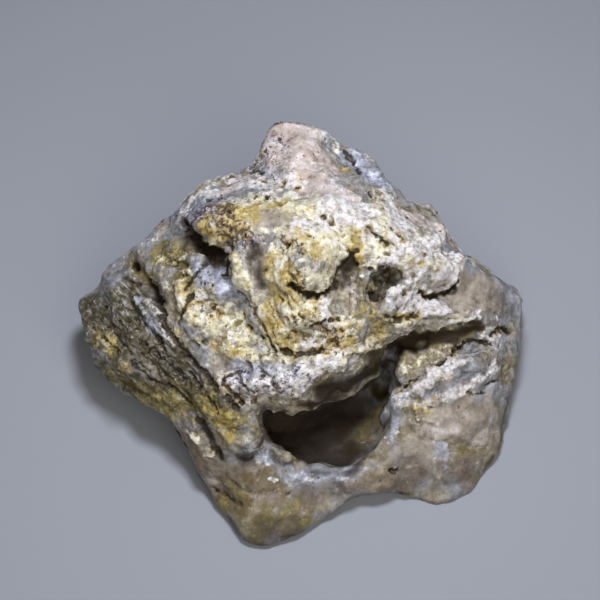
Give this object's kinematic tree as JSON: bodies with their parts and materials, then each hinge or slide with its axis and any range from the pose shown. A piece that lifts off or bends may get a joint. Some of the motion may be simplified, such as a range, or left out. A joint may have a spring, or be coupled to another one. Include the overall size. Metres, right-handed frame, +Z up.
{
  "type": "ventifact",
  "caption": "Wind-carved chalcedony stone with a peaked crown, drilled hollows, an overhanging lip above a deep mouth, and a worn flat underside that it rests on.",
  "frame": {"origin": "middle of the stone's footprint, on the plane that it rests on", "axes": "+X to the right of the carved show face, +Y to the back, +Z up; the show face looks to the front and up"},
  "size_m": [0.058, 0.0508, 0.0304],
  "materials": {
    "stone": null
  },
  "bodies": {
    "root": {"stone": "stone"}
  },
  "joints": []
}
